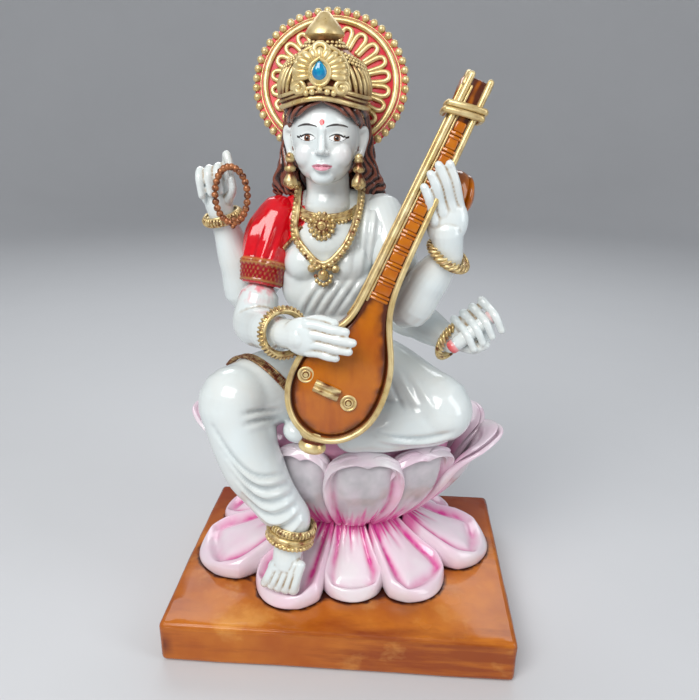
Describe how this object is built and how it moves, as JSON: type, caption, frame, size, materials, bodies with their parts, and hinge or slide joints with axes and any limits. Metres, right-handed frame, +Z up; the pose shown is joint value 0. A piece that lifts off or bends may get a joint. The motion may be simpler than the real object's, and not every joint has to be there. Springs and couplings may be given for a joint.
{
  "type": "hindu deity statue",
  "caption": "Glossy white four-armed seated goddess figurine playing a veena, with gold crown and halo, on a pink lotus and a brown slab plinth.",
  "frame": {"origin": "centre of the plinth's flat underside", "axes": "+Z up through the figure, -Y the way the figure faces, +X towards the figure's left hand"},
  "size_m": [0.15, 0.1161, 0.2616],
  "materials": {
    "white_glaze": "glossy white glaze with a faint blue cast",
    "petal_pink": "glossy white with magenta wash in the grooves",
    "plinth_brown": "glossy mottled brown over dark knots and streaks",
    "gold_paint": "antique gold paint with dark red-brown wash in the recesses",
    "red_glaze": "high-gloss red enamel",
    "veena_lacquer": "glossy orange-brown lacquer, darker at the edges",
    "hair_brown": "glossy dark brown",
    "bead_brown": "satin copper-brown",
    "gem_blue": "clear coat over turquoise"
  },
  "bodies": {
    "root": {"anklet": "gold_paint", "bangle_front_left": "gold_paint", "bangle_front_right": "gold_paint", "bangle_rear_left": "gold_paint", "bangle_rear_right": "gold_paint", "choker": "gold_paint", "crown": "gold_paint", "crown_finial": "gold_paint", "crown_gem": "gem_blue", "earring_left": "gold_paint", "earring_right": "gold_paint", "foot": "white_glaze", "front_left_arm": "white_glaze", "front_left_hand": "white_glaze", "front_right_forearm": "white_glaze", "front_right_hand": "white_glaze", "hair": "hair_brown", "halo": "gold_paint", "head": "white_glaze", "hips": "white_glaze", "left_leg": "white_glaze", "lotus_base": "petal_pink", "lotus_cup": "petal_pink", "lower_petal_1": "petal_pink", "lower_petal_2": "petal_pink", "lower_petal_3": "petal_pink", "lower_petal_4": "petal_pink", "lower_petal_5": "petal_pink", "lower_petal_6": "petal_pink", "lower_petal_7": "petal_pink", "lower_petal_8": "petal_pink", "lower_petal_9": "petal_pink", "mala": "bead_brown", "manuscript": "white_glaze", "necklace": "gold_paint", "plinth": "plinth_brown", "rear_left_arm": "white_glaze", "rear_left_hand": "white_glaze", "rear_right_arm": "white_glaze", "rear_right_hand": "white_glaze", "right_leg": "white_glaze", "sleeve": "red_glaze", "torso": "white_glaze", "upper_petal_1": "petal_pink", "upper_petal_2": "petal_pink", "upper_petal_3": "petal_pink", "upper_petal_4": "petal_pink", "upper_petal_5": "petal_pink", "upper_petal_6": "petal_pink", "upper_petal_7": "petal_pink", "upper_petal_8": "petal_pink", "upper_petal_9": "petal_pink", "upper_petal_10": "petal_pink", "veena_body": "veena_lacquer", "veena_bridge": "gold_paint", "veena_clasp": "gold_paint", "veena_pegbox": "veena_lacquer", "veena_soundboard": "veena_lacquer", "veena_tail_knob": "gold_paint", "veena_upper_gourd": "veena_lacquer"}
  },
  "joints": []
}
